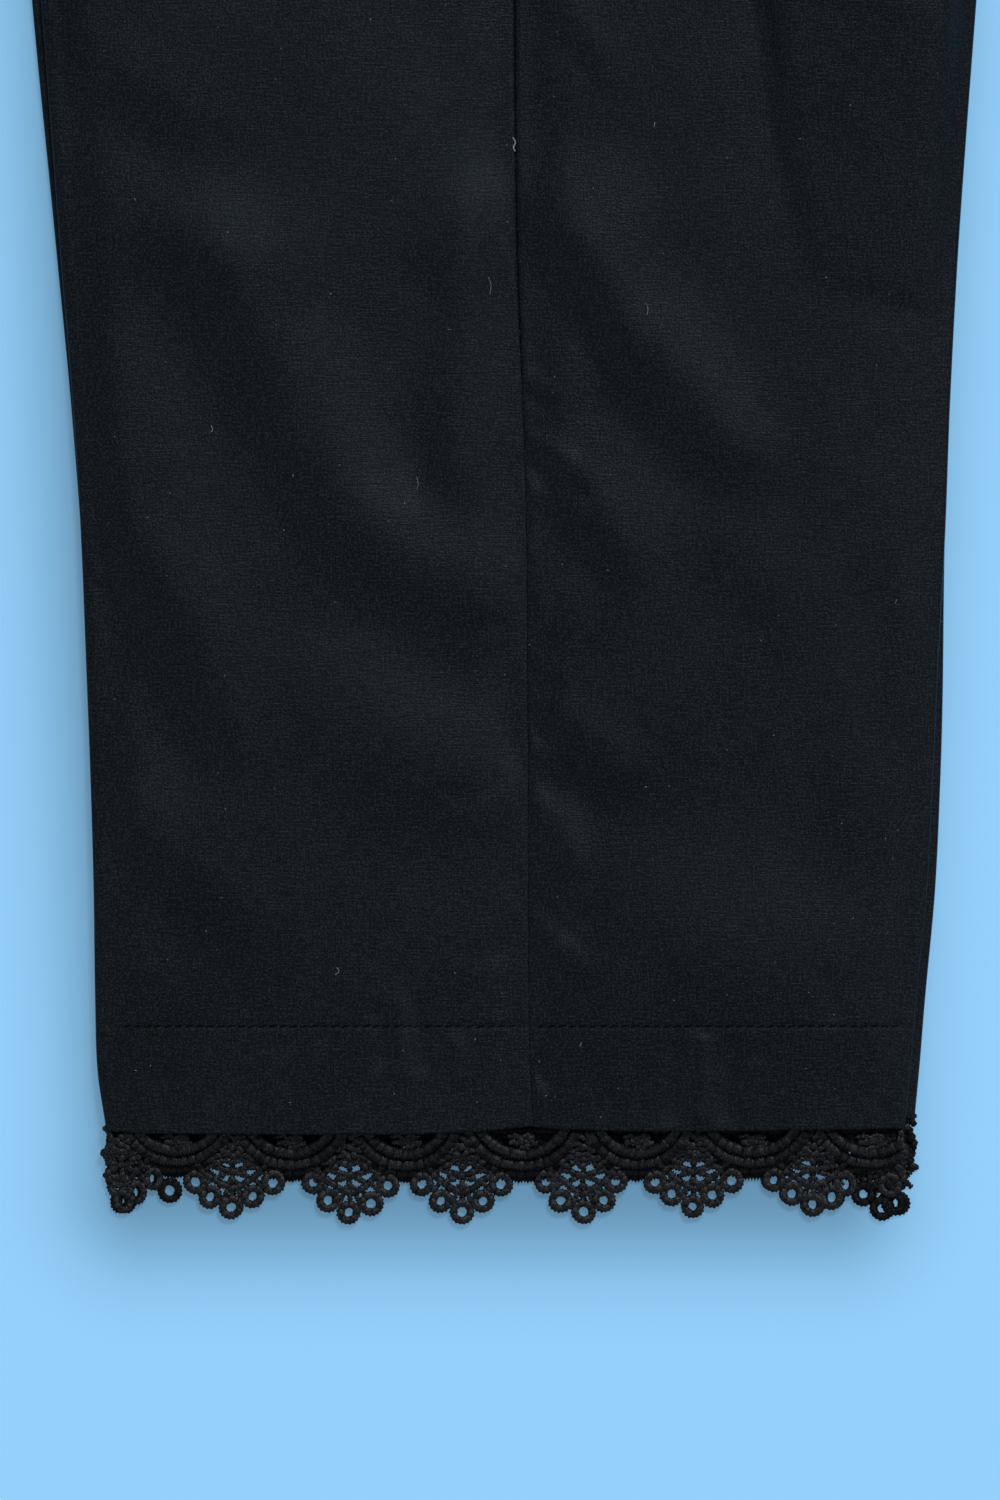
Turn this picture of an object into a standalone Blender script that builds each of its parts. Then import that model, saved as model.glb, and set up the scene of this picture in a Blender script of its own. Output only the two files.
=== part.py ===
"""Black cotton trousers with a lace hem, folded lengthwise and laid flat, the right leg on top.

X runs across the folded garment, from the back crease to the front crease. Y runs from the hem to
the waist, and Z is up. The origin lies on the floor, under the middle of the garment. All sizes
below are in millimetres, and heights are measured from the hem edge towards the waist.
"""
import math

import bmesh
import bpy

MM = 0.001

# Sizes of the whole garment
LENGTH = 925.0
LACE_DEPTH = 22.8
BAND_DEPTH = 38.0
HEM_DEPTH = 26.5
CROTCH_HEIGHT = 660.0
WALL = 1.0
GAP = 0.3
HEM_STEP = 0.35
CENTRE_HEIGHT = (LENGTH - LACE_DEPTH) / 2

# Heights of the middle of each layer of cloth above the floor
STEP = WALL + GAP
LAYER_1 = WALL / 2
LAYER_2 = LAYER_1 + STEP
LAYER_3 = LAYER_2 + STEP
LAYER_4 = LAYER_3 + STEP

# The folded leg: height, then the places across of the back crease, the front crease and the outseam
OUTLINE = [
    (0, -100.2, 99.5, 6.6),
    (15, -102.4, 100.9, 5.9),
    (33, -103.0, 102.4, 5.5),
    (61, -103.4, 105.1, 5.4),
    (89, -104.2, 106.6, 5.4),
    (118, -105.3, 107.9, 5.1),
    (150, -106.6, 109.6, 4.9),
    (182, -108.6, 110.8, 4.0),
    (218, -111.6, 112.7, 2.6),
    (251, -114.1, 115.0, 2.1),
    (283, -116.6, 117.4, 1.9),
    (360, -122.8, 123.0, 1.6),
    (440, -130.4, 130.0, 1.8),
    (520, -139.6, 138.4, 2.4),
    (600, -151.0, 149.0, 3.4),
    (660, -162.5, 160.0, 4.4),
    (710, -177.0, 173.0, 5.4),
    (760, -187.5, 184.0, 6.0),
    (830, -188.5, 186.5, 6.0),
    (890, -185.0, 184.0, 6.0),
]

# How far the left leg lies to the right of the right leg: height, shift
LEFT_LEG_SHIFT = [
    (0, 2.3),
    (60, 2.1),
    (108, 1.6),
    (150, 0.0),
    (220, -1.0),
    (283, -2.3),
    (440, -2.6),
    (600, -0.8),
    (660, 0.0),
    (890, 0.0),
]
LEFT_HEM_RAISE = 2.5

# Where the under side of the right leg ends, above the crotch: height, share of the half leg that is
# left between the crease and the rise seam
RISE = [
    (0, 1.0),
    (640, 1.0),
    (660, 1.0),
    (685, 0.62),
    (710, 0.45),
    (760, 0.30),
    (830, 0.18),
    (890, 0.06),
]

# Rows of points along the leg: start height, end height, number of steps
LEG_ROWS = [
    (0.0, 3.0, 1),
    (3.0, HEM_DEPTH - 1.0, 2),
    (HEM_DEPTH - 1.0, HEM_DEPTH + 1.0, 1),
    (HEM_DEPTH + 1.0, 148.0, 8),
    (148.0, 286.0, 8),
    (286.0, CROTCH_HEIGHT, 9),
    (CROTCH_HEIGHT, LENGTH - BAND_DEPTH - GAP, 10),
]

# Shares of the way from the outseam to the crease
ACROSS = [0.0, 0.025, 0.08, 0.16, 0.24, 0.32, 0.40, 0.48, 0.56, 0.64, 0.72, 0.80, 0.88, 0.95, 1.0]
UNDER = [0.5, 0.0]
FOLD_STEPS = 4

# The loft of the upper face between seam and crease, which is a smaller share of itself at the hem
LOFT = 2.8
HEM_LOFT = 0.3
LOFT_REACH = 60.0

# Its soft folds: start across and height, end across and height, half width, rise (a trough is
# below nought)
FOLDS = [
    (14, 222, 30, 192, 9, -2.0),
    (30, 192, 52, 167, 9, -2.0),
    (28, 214, 50, 186, 10, 1.2),
    (6, 171, 27, 143, 8, -1.5),
    (66, 290, 73, 210, 9, -1.6),
    (52, 286, 58, 215, 14, 1.1),
    (73, 213, 112, 202, 6, -1.8),
    (98, 128, 98, 92, 11, -1.8),
    (8, 100, 43, 88, 7, -1.1),
    (48, 24, 48, 0, 4, -0.9),
    (-103, 163, -74, 95, 11, -1.6),
    (-88, 170, -58, 108, 12, 0.9),
    (-69, 200, -44, 153, 11, -1.6),
    (-52, 148, 0, 103, 11, -1.4),
    (-17, 226, -17, 165, 9, -1.4),
    (-102, 68, -77, 50, 8, -1.1),
    (-27, 40, -27, 14, 4, -0.9),
    (-40, 430, -95, 350, 13, -1.8),
    (30, 470, 88, 400, 13, -1.8),
    (-20, 600, -100, 520, 15, -1.9),
    (40, 640, 120, 540, 15, -2.0),
    (-60, 720, -150, 640, 16, -2.0),
    (70, 720, 150, 650, 16, -1.9),
]

# Gathers under the waistband
GATHER_RISE = 1.3
GATHER_FADE = 120.0

# The waistband: an elastic casing in soft ruffles
BAND_WALL = 2 * WALL + GAP
RUFFLES = 36
RUFFLE_POINTS = 4
RUFFLE_RISE = 0.9
BAND_ROWS = [(0.0, 0.45), (3.5, 1.0), (BAND_DEPTH - 3.5, 1.0), (BAND_DEPTH, 0.5)]

# The lace: five rings in a V on each fan, between U-shaped scallops
RING_RADIUS = 2.85
RING_HOLE = 1.25
RING_HOLE_SIDES = 6
RINGS = [(-10.0, -13.2), (-5.5, -17.3), (0.0, -19.95), (5.5, -17.3), (10.0, -13.2)]
RING_ARC = [-66, -34, 0, 34, 66]
SCALLOP_DEPTH = 11.0
EYELET_ACROSS = [2.2, 7.4]
EYELET_HEIGHT = [-1.1, -3.7]

# Where the fans and the scallops of each layer of lace lie across
UPPER_FANS = [-97.2, -68.8, -39.6, -11.2, 19.0, 46.8, 76.5]
UNDER_FANS = [-73.6, -40.2, -11.8, 18.4, 46.0, 75.4, 93.7]
LEFT_FANS = [-92.6, -67.9, -39.0, -10.4, 19.6, 47.5, 77.4, 96.8]

CLOTH_COLOUR = (0.0100, 0.0120, 0.0145, 1.0)
LACE_COLOUR = (0.0100, 0.0100, 0.0105, 1.0)


def smooth_value(table, column, height):
    """Reads a table's column at any height, on a smooth curve through its rows."""
    if height <= table[0][0]:
        return table[0][column]
    if height >= table[-1][0]:
        return table[-1][column]
    i = 0
    while table[i + 1][0] < height:
        i += 1
    before = table[max(i - 1, 0)]
    start = table[i]
    end = table[i + 1]
    after = table[min(i + 2, len(table) - 1)]
    length = end[0] - start[0]
    t = (height - start[0]) / length
    slope_in = (end[column] - before[column]) / (end[0] - before[0]) * length
    slope_out = (after[column] - start[column]) / (after[0] - start[0]) * length
    level = start[column] + (end[column] - start[column]) * ease(t)
    return level + slope_in * t * (1 - t) ** 2 + slope_out * t * t * (t - 1)


def ease(share):
    """Rises smoothly from 0 to 1."""
    share = min(max(share, 0.0), 1.0)
    return share * share * (3 - 2 * share)


def heights_of(rows):
    """All heights of a table of start, end and steps."""
    heights = [rows[0][0]]
    for start, end, steps in rows:
        heights += [start + (end - start) * (i + 1) / steps for i in range(steps)]
    return heights


def fold_height(across, height):
    """The sum of the soft folds at one place on the upper face."""
    total = 0.0
    for x0, h0, x1, h1, half_width, rise in FOLDS:
        run_x = x1 - x0
        run_h = h1 - h0
        length = math.hypot(run_x, run_h)
        along = ((across - x0) * run_x + (height - h0) * run_h) / length
        aside = ((across - x0) * run_h - (height - h0) * run_x) / length
        ends = ease(along / half_width + 0.5) * ease((length - along) / half_width + 0.5)
        total += rise * ends * math.exp(-((aside / half_width) ** 2))
    return total


def loft_at(share, across, height, column):
    """How far the upper face rises over the layers under it."""
    edge = ease(share / 0.12) * ease((1 - share) / 0.10)
    loft = LOFT * (0.35 + 0.65 * math.sin(math.pi * share))
    loft *= HEM_LOFT + (1 - HEM_LOFT) * ease(height / LOFT_REACH)
    soft = max((loft + fold_height(across, height)) * edge, 0.0)
    fade = ease((height - (LENGTH - BAND_DEPTH - GATHER_FADE)) / GATHER_FADE)
    gather = GATHER_RISE * (column % 2) * edge
    return soft * (1 - 0.6 * fade) + gather * fade


def new_material(name, colour, roughness):
    material = bpy.data.materials.new(name)
    material.use_nodes = True
    shader = material.node_tree.nodes["Principled BSDF"]
    shader.inputs["Base Color"].default_value = colour
    shader.inputs["Roughness"].default_value = roughness
    shader.inputs["Metallic"].default_value = 0.0
    return material


def add_object(name, mesh, material):
    thing = bpy.data.objects.new(name, mesh)
    thing.data.materials.append(material)
    bpy.context.scene.collection.objects.link(thing)
    return thing


def place(across, height, level):
    """A point of the garment as a place in the scene, in metres."""
    return (across * MM, (height - CENTRE_HEIGHT) * MM, level * MM)


def finish_mesh(name, grid):
    mesh = bpy.data.meshes.new(name)
    bmesh.ops.recalc_face_normals(grid, faces=grid.faces)
    grid.to_mesh(mesh)
    grid.free()
    mesh.shade_smooth()
    mesh.set_sharp_from_angle(angle=math.radians(40))
    return mesh


def offset_line(line, distances):
    """Moves each point of a line of (across, level) square to the line, to its left."""
    moved = []
    for i, (x, z) in enumerate(line):
        x0, z0 = line[max(i - 1, 0)]
        x1, z1 = line[min(i + 1, len(line) - 1)]
        run = math.hypot(x1 - x0, z1 - z0)
        moved.append((x - (z1 - z0) / run * distances[i], z + (x1 - x0) / run * distances[i]))
    return moved


def panel_line(height, side):
    """The middle of a panel's wall at one height: seam, upper face, crease, under face, inseam."""
    seam = smooth_value(OUTLINE, 3, height) + side * GAP / 2
    crease = smooth_value(OUTLINE, 2 if side > 0 else 1, height)
    radius = STEP / 2
    turn = crease - side * (WALL / 2 + radius)
    left = min(smooth_value(RISE, 1, height), 1.0)
    line = []
    for column, share in enumerate(ACROSS):
        across = seam + (turn - seam) * share
        line.append((across, LAYER_4 + loft_at(share, across, height, column)))
    for i in range(1, FOLD_STEPS + 1):
        angle = math.pi / 2 - math.pi * i / FOLD_STEPS
        level = (LAYER_3 + LAYER_4) / 2 + radius * math.sin(angle)
        line.append((turn + side * radius * math.cos(angle), level))
    for share in UNDER:
        line.append((turn + (seam - turn) * (1 - share) * left, LAYER_3))
    return line


def add_panel(name, side, material):
    """A leg panel: a wall of cloth from the outseam round the crease to the inseam."""
    heights = heights_of(LEG_ROWS)
    outer = []
    inner = []
    for height in heights:
        line = panel_line(height, side)
        hem = HEM_STEP * ease((HEM_DEPTH + 1.0 - height) / 2.0)
        thick = [WALL / 2 + hem] * len(ACROSS) + [WALL / 2] * (len(line) - len(ACROSS))
        outer.append(offset_line(line, [side * t for t in thick]))
        inner.append(offset_line(line, [-side * WALL / 2] * len(line)))
    grid = bmesh.new()
    layers = []
    for sections in (outer, inner):
        layers.append([])
        for height, section in zip(heights, sections):
            layers[-1].append([grid.verts.new(place(x, height, z)) for x, z in section])
    add_wall_faces(grid, layers[0], layers[1], False)
    return add_object(name, finish_mesh(name, grid), material)


def add_wall_faces(grid, outer, inner, closed):
    """Joins two layers of points, row by row, into one closed wall."""
    rows = len(outer)
    columns = len(outer[0])
    last = columns if closed else columns - 1
    for i in range(rows - 1):
        for j in range(last):
            k = (j + 1) % columns
            grid.faces.new((outer[i][j], outer[i][k], outer[i + 1][k], outer[i + 1][j]))
            grid.faces.new((inner[i][j], inner[i + 1][j], inner[i + 1][k], inner[i][k]))
        if not closed:
            for j in (0, columns - 1):
                grid.faces.new((outer[i][j], outer[i + 1][j], inner[i + 1][j], inner[i][j]))
    for i in (0, rows - 1):
        for j in range(last):
            k = (j + 1) % columns
            grid.faces.new((outer[i][j], outer[i][k], inner[i][k], inner[i][j]))


# The rim of the left leg: level above the floor, then how far it lies in from the outline. The two
# layers are round at their edges, with a groove between them
RIM = [
    (0.0, 0.5),
    (0.15, 0.15),
    (0.5, 0.0),
    (0.85, 0.15),
    (WALL, 0.5),
    (WALL, 3.0),
    (WALL + GAP, 3.0),
    (WALL + GAP, 0.5),
    (WALL + GAP + 0.15, 0.15),
    (WALL + GAP + 0.5, 0.0),
    (WALL + GAP + 0.85, 0.15),
    (WALL + GAP + WALL, 0.5),
]


def left_leg_outline(inset):
    """The left leg in plan, as a loop of (across, height), moved in from its edge."""
    heights = [LEFT_HEM_RAISE] + [row[0] for row in OUTLINE[1:-1]]
    heights += [LENGTH - BAND_DEPTH - GAP]
    loop = []
    for column, sign in ((1, 1), (2, -1)):
        side = []
        for i, height in enumerate(heights):
            across = smooth_value(OUTLINE, column, height)
            across += smooth_value(LEFT_LEG_SHIFT, 1, height) + sign * inset
            end = inset if i == 0 else -inset if i == len(heights) - 1 else 0.0
            side.append((across, height + end))
        loop += side if sign > 0 else side[::-1]
    return loop


def add_left_leg(name, material):
    """The hidden leg: its layers share one solid, rounded and layered at the edges."""
    grid = bmesh.new()
    loops = []
    for level, inset in RIM:
        loops.append([grid.verts.new(place(x, h, level)) for x, h in left_leg_outline(inset)])
    for lower, upper in zip(loops, loops[1:]):
        for j in range(len(lower)):
            k = (j + 1) % len(lower)
            grid.faces.new((lower[j], lower[k], upper[k], upper[j]))
    grid.faces.new(loops[0][::-1])
    grid.faces.new(loops[-1])
    return add_object(name, finish_mesh(name, grid), material)


def band_ring():
    """The waistband's middle line, once round, with the rise of its ruffles at each point."""
    height = LENGTH - BAND_DEPTH
    radius = (BAND_WALL + GAP) / 2
    inset = BAND_WALL / 2 + radius
    back = smooth_value(OUTLINE, 1, height) + inset
    front = smooth_value(OUTLINE, 2, height) - inset
    middle = BAND_WALL + GAP / 2
    ring = []
    steps = RUFFLES * RUFFLE_POINTS
    for i in range(steps + 1):
        wave = 0.5 - 0.5 * math.cos(2 * math.pi * i / RUFFLE_POINTS)
        ring.append((back + (front - back) * i / steps, middle + radius, RUFFLE_RISE * wave))
    for start, turn, side in ((math.pi / 2, front, -1), (-math.pi / 2, back, -1)):
        for i in range(1, 2 * FOLD_STEPS):
            angle = start + side * math.pi * i / (2 * FOLD_STEPS)
            ring.append((turn + radius * math.cos(angle), middle + radius * math.sin(angle), 0.0))
        if turn == front:
            for share in (0.0, 0.5, 1.0):
                ring.append((front + (back - front) * share, middle - radius, 0.0))
    return ring


def add_waistband(name, material):
    """The elastic casing: one flattened ring of doubled cloth, ruffled on its upper face."""
    ring = band_ring()
    count = len(ring)
    grid = bmesh.new()
    outer = []
    inner = []
    for depth, fullness in BAND_ROWS:
        height = LENGTH - BAND_DEPTH + depth
        outer_row = []
        inner_row = []
        for i, (x, z, rise) in enumerate(ring):
            x0, z0, _ = ring[i - 1]
            x1, z1, _ = ring[(i + 1) % count]
            run = math.hypot(x1 - x0, z1 - z0)
            away = (-(z1 - z0) / run, (x1 - x0) / run)
            reach = BAND_WALL / 2 * (0.6 + 0.4 * fullness) + rise * fullness
            outer_row.append(grid.verts.new(place(x + away[0] * reach, height, z + away[1] * reach)))
            reach = -BAND_WALL / 2
            inner_row.append(grid.verts.new(place(x + away[0] * reach, height, z + away[1] * reach)))
        outer.append(outer_row)
        inner.append(inner_row)
    add_wall_faces(grid, outer, inner, True)
    return add_object(name, finish_mesh(name, grid), material)


def lace_low_edge(across, fans, raise_by):
    """The lower edge of the lace at one place across: the lowest ring or scallop there."""
    low = -SCALLOP_DEPTH
    for fan in fans:
        for ring_x, ring_h in RINGS:
            aside = across - fan - ring_x
            if abs(aside) < RING_RADIUS:
                low = min(low, ring_h - math.sqrt(RING_RADIUS ** 2 - aside ** 2))
    return low + raise_by


def add_spline(curve, points):
    spline = curve.splines.new("POLY")
    spline.points.add(len(points) - 1)
    for point, (x, y) in zip(spline.points, points):
        point.co = (x * MM, y * MM, 0.0, 1.0)
    spline.use_cyclic_u = True


def add_lace(name, fans, start, end, edge_height, level, holes, material):
    """One face of the lace: a flat wall with the fans' outline, its rings and eyelets cut through."""
    places = {start, end}
    for fan in fans:
        for ring_x, _ in RINGS:
            places |= {fan + ring_x + RING_RADIUS * math.sin(math.radians(a)) for a in RING_ARC}
    places = sorted(x for x in places if start <= x <= end)
    kept = [places[0]]
    for x in places[1:]:
        if x - kept[-1] > 0.4:
            kept.append(x)
    kept[-1] = end
    curve = bpy.data.curves.new(name, "CURVE")
    curve.dimensions = "2D"
    curve.fill_mode = "BOTH"
    curve.extrude = WALL / 2 * MM
    outline = [(x, lace_low_edge(x, fans, 0.0)) for x in kept]
    outline += [(end, -GAP), (start, -GAP)]
    add_spline(curve, outline)
    if holes:
        add_lace_holes(curve, fans, start, end)
    thing = bpy.data.objects.new(name, curve)
    curve.materials.append(material)
    bpy.context.scene.collection.objects.link(thing)
    thing.location = place(0.0, edge_height, level)
    return thing


def add_lace_holes(curve, fans, start, end):
    """The hole in each ring, and the two eyelets over each scallop."""
    middles = [(fan + ring_x, ring_h) for fan in fans for ring_x, ring_h in RINGS]
    cut = []
    for x, h in middles:
        inside = start + RING_RADIUS < x < end - RING_RADIUS
        if inside and all(math.dist((x, h), other) > 2 * RING_RADIUS - 1 for other in cut):
            cut.append((x, h))
    turns = [2 * math.pi * i / RING_HOLE_SIDES for i in range(RING_HOLE_SIDES)]
    for x, h in cut:
        add_spline(curve, [(x + RING_HOLE * math.cos(a), h + RING_HOLE * math.sin(a)) for a in turns])
    for left, right in zip(fans, fans[1:]):
        scallop = (left + right) / 2
        for side in (-1, 1):
            near, far = (scallop + side * x for x in EYELET_ACROSS)
            top, low = EYELET_HEIGHT
            add_spline(curve, [(near, top), (far, top), (far - side * 2.0, low), (near + side * 1.0, low)])


def build_trousers():
    cloth = new_material("black_cotton", CLOTH_COLOUR, 0.85)
    lace = new_material("black_lace_cord", LACE_COLOUR, 0.7)
    add_panel("right_front", 1, cloth)
    add_panel("right_back", -1, cloth)
    add_left_leg("left_leg", cloth)
    add_waistband("waistband", cloth)
    back, front = OUTLINE[0][1], OUTLINE[0][2]
    shift = LEFT_LEG_SHIFT[0][1]
    add_lace("right_lace_upper", UPPER_FANS, back, front, 0.0, LAYER_4, True, lace)
    add_lace("right_lace_under", UNDER_FANS, back, front, 0.0, LAYER_3, True, lace)
    left_edge = LEFT_HEM_RAISE
    add_lace("left_lace_upper", LEFT_FANS, back + shift, front + shift, left_edge, LAYER_2, False, lace)
    add_lace("left_lace_under", LEFT_FANS, back + shift, front + shift, left_edge, LAYER_1, False, lace)


for thing in list(bpy.data.objects):
    bpy.data.objects.remove(thing)
build_trousers()
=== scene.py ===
"""Black cotton trousers with a lace hem, folded lengthwise and laid flat, the right leg on top.

The cloth is thin sheets turned round their creases, with the hem turned up inside. The lace is wound
cord. X runs from the back crease to the front crease, Y from the hem to the waist, and Z is up.
Sizes in this script are in millimetres, and heights are measured from the hem edge to the waist.
"""
import math
import random

import bpy
import numpy as np
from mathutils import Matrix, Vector, noise


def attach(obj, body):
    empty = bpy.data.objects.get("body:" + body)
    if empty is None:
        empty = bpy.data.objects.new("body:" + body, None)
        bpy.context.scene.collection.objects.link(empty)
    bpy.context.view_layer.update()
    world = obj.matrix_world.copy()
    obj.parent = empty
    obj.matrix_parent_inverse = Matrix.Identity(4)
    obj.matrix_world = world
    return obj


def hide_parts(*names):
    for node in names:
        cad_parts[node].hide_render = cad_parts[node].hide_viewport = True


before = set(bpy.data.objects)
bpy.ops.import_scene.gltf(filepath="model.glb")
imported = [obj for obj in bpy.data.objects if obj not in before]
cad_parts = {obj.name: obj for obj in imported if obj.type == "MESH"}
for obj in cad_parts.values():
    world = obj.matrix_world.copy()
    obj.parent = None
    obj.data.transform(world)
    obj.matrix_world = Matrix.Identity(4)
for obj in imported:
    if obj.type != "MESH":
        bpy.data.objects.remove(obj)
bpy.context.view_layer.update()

MM = 0.001
LENGTH = 925.0
LACE_DEPTH = 22.8
BAND_DEPTH = 38.0
HEM_DEPTH = 26.5
CENTRE_HEIGHT = (LENGTH - LACE_DEPTH) / 2
LEG_TOP = LENGTH - BAND_DEPTH

# The cloth, and the middles of the walls of cloth that stand for each layer above the floor
CLOTH = 0.34
WALL = 1.0
STEP = 1.3
LAYER = [WALL / 2 + STEP * i for i in range(4)]
OUTER = (WALL - CLOTH) / 2
HEM_TURN = 0.19

# The first columns of a sheet, which stand close together beside the outseam: shares of its width
SEAM_COLUMNS = [0.0, 0.002, 0.0045, 0.008, 0.013, 0.02]

# The folded leg: height, then the places across of the back crease, the front crease and the outseam
BACK, FRONT, SEAM = 1, 2, 3
OUTLINE = [
    (0, -100.2, 99.5, 6.6),
    (15, -102.4, 100.9, 5.9),
    (33, -103, 102.4, 5.5),
    (61, -103.4, 105.1, 5.4),
    (89, -104.2, 106.6, 5.4),
    (118, -105.3, 107.9, 5.1),
    (150, -106.6, 109.6, 4.9),
    (182, -108.6, 110.8, 4),
    (218, -111.6, 112.7, 2.6),
    (251, -114.1, 115, 2.1),
    (283, -116.6, 117.4, 1.9),
    (360, -122.8, 123, 1.6),
    (440, -130.4, 130, 1.8),
    (520, -139.6, 138.4, 2.4),
    (600, -151, 149, 3.4),
    (660, -162.5, 160, 4.4),
    (710, -177, 173, 5.4),
    (760, -187.5, 184, 6),
    (830, -188.5, 186.5, 6),
    (890, -185, 184, 6),
]

# How far the left leg lies to the right of the right leg: height, shift
LEFT_LEG_SHIFT = [
    (0, 2.3), (60, 2.1), (108, 1.6), (150, 0), (220, -1), (283, -2.3), (440, -2.6), (600, -0.8),
    (660, 0), (890, 0),
]
LEFT_HEM_RAISE = 2.5

# Above the crotch the inner face ends at the rise seam: height, share of the half leg left
RISE = [
    (0, 1), (640, 1), (660, 1), (685, 0.62), (710, 0.45), (760, 0.30), (830, 0.18), (890, 0.06),
]

# The loft of the upper face between seam and crease, a smaller share of itself at the hem
LOFT = 2.8
HEM_LOFT = 0.55
LOFT_REACH = 60.0

# The long folds above the picture, each a slope and a trough at once, in the columns of SLOPES
LONG_FOLDS = [
    (-40, 430, -95, 350, 13, -0.9), (30, 470, 88, 400, 13, 0.9), (-20, 600, -100, 520, 15, -1),
    (40, 640, 120, 540, 15, 1), (-60, 720, -150, 640, 16, -1), (70, 720, 150, 650, 16, 1),
]

# The soft folds of the upper face are slopes that rise towards the upper right, with a slower fall on
# either side: start across and height, end across and height, half width, step
SLOPES = [
    (13, 223, 27, 194, 5.5, 0.85), (27, 194, 56, 160, 8.5, 0.95), (5, 170, 15, 157, 4.5, 0.5),
    (15, 157, 28, 138, 6, 0.6), (-106, 174, -98, 143, 6, 0.7), (-98, 143, -71, 91, 8, 0.95),
    (-83, 222, -60, 178, 8.5, 0.8), (-60, 178, -45, 146, 8.5, 0.75), (-45, 143, 2, 119, 11, 0.9),
    (-17, 218, -18, 160, 6, 0.55), (-102, 80, -88, 66, 6.5, 0.55), (-88, 66, -70, 48, 7.5, 0.5),
    (5, 103, 29, 84, 6, 0.6), (98, 138, 101, 94, 7, 0.55), (-42, 92, 4, 68, 13, 0.5),
    (-102, 264, -76, 244, 8, 0.4), (45, 153, 63, 127, 8, 0.35), (12, 281, 24, 262, 3.5, 0.25),
    (-15, 241, 34, 233, 13, -0.5), (-88, 240, -50, 228, 12, -0.4), (-40, 200, -27, 150, 8, -0.5),
    (-97, 200, -62, 122, 9, -0.4), (32, 222, 68, 170, 8, -0.3), (7, 92, 18, 70, 6, -0.5),
    (6, 60, 17, 44, 5, -0.4), (6, 54, 17, 36, 3.5, 0.3), (28, 66, 92, 46, 20, -0.8),
    (-120, 470, -60, 385, 12, 0.7), (110, 560, 60, 500, 12, -0.6), (-30, 520, 5, 450, 10, 0.5),
    (20, 380, 50, 320, 11, 0.7), (-95, 340, -60, 296, 10, 0.6),
]
SLOPES += LONG_FOLDS
SLOPE_END_SOFTNESS = 2.6

# Low ridges and troughs: start and end as above, half width, rise (a trough is below nought)
RIDGES = [
    (-15, 224, 33, 229, 15, 0.7),
    (-88, 226, -48, 213, 13, 0.45),
]
RIDGES += [(*fold, -abs(step)) for *fold, step in LONG_FOLDS]

# The facet at the upper right, which rises from a crease at its left (height, place across) and
# from one below it (height over the seam side, fall for each millimetre across)
FACET_LEFT = [(195, 76), (211, 73.5), (245, 67), (283, 62.2), (330, 58)]
FACET_FOOT = (211.5, 73.5, 0.24)
FACET_SLOPE = 0.062
FACET_REACH = 76.0
FACET_EDGE = 7.0
FACET_TOP = 540.0
FACET_FADE = 250.0

# How far the hem edge is raised at places across
HEM_EDGE = [(-103, 0.6), (-90, -0.2), (-60, -0.4), (-25, -0.5), (-6, 0.3), (5.5, 1.5), (12, 0.9),
            (30, 0.4), (60, 0.5), (85, 0.8), (103, 1)]

# Small creases, in the same columns: puckers of the front half that start at the outseam, creases at
# the hem, and puckers of the back half
CREASES = [
    (4, 189, 13, 184, 1.8, 0.35), (4, 184, 11, 181, 1.7, -0.3), (5, 174, 18, 166, 2.2, 0.36),
    (5, 168, 20, 158, 2.4, -0.5), (5, 161, 17, 152, 2.2, 0.3), (5, 119, 15, 114, 2, 0.3),
    (6, 113, 14, 109, 1.8, -0.25), (6, 103, 20, 93, 2.6, -0.45), (6, 97, 18, 88, 2.4, 0.22),
    (6, 90, 13, 84, 2, -0.15), (6, 64, 14, 58, 2.2, 0.2), (6, 57, 16, 49, 2.2, -0.3),
    (6, 51, 14, 44, 2, 0.2), (6, 34, 11, 31, 1.3, -0.3), (6, 20, 11, 10, 1.8, -0.35),
    (6, 12, 10, 7, 1.7, 0.2), (-22, 33, -21, 15, 1.8, -0.6), (-27, 34, -26, 13, 1.7, 0.5),
    (-32, 31, -31, 17, 1.7, -0.5), (-13, 24, -11, 12, 1.8, 0.35), (42, 22, 41, 2, 1.7, -0.5),
    (49, 24, 48, 2, 2, 0.65), (56, 23, 55, 3, 1.7, -0.55), (61, 18, 60, 4, 1.6, 0.4),
    (28, 16, 30, 2, 1.6, 0.25), (-60, 20, -58, 3, 2, 0.25), (-84, 16, -85, 2, 2, -0.25),
    (80, 40, 82, 28, 2.2, -0.3), (-1, 128, -12, 124, 2.2, -0.3), (-1, 88, -14, 82, 2.5, -0.3),
    (0, 46, -9, 43, 2, -0.3),
]

# The groove of the outseam, and how deep the hem's stitches sink
SEAM_DEPTH = 0.5
SEAM_HALF_WIDTH = 0.45
STITCH_DEPTH = 0.09

# The gathers under the waistband, the ruffles of the band itself, and its ring
GATHER_PITCH = 9.4
GATHER_RISE = 1.25
GATHER_FADE = 125.0
RUFFLE_RISE = 0.9
BAND_HALF_WALL = 1.15
BAND_TURN = 1.3
BAND_MIDDLE = 2 * BAND_HALF_WALL + 0.15
BAND_EDGE = 1.2
BAND_FULLNESS = 1.35
BAND_STITCH_LINES = (13, 25.5)
BAND_STITCH_REACH = 180.0

STITCH_LENGTH = 2.6
LINT_SPACING = 0.014

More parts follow.
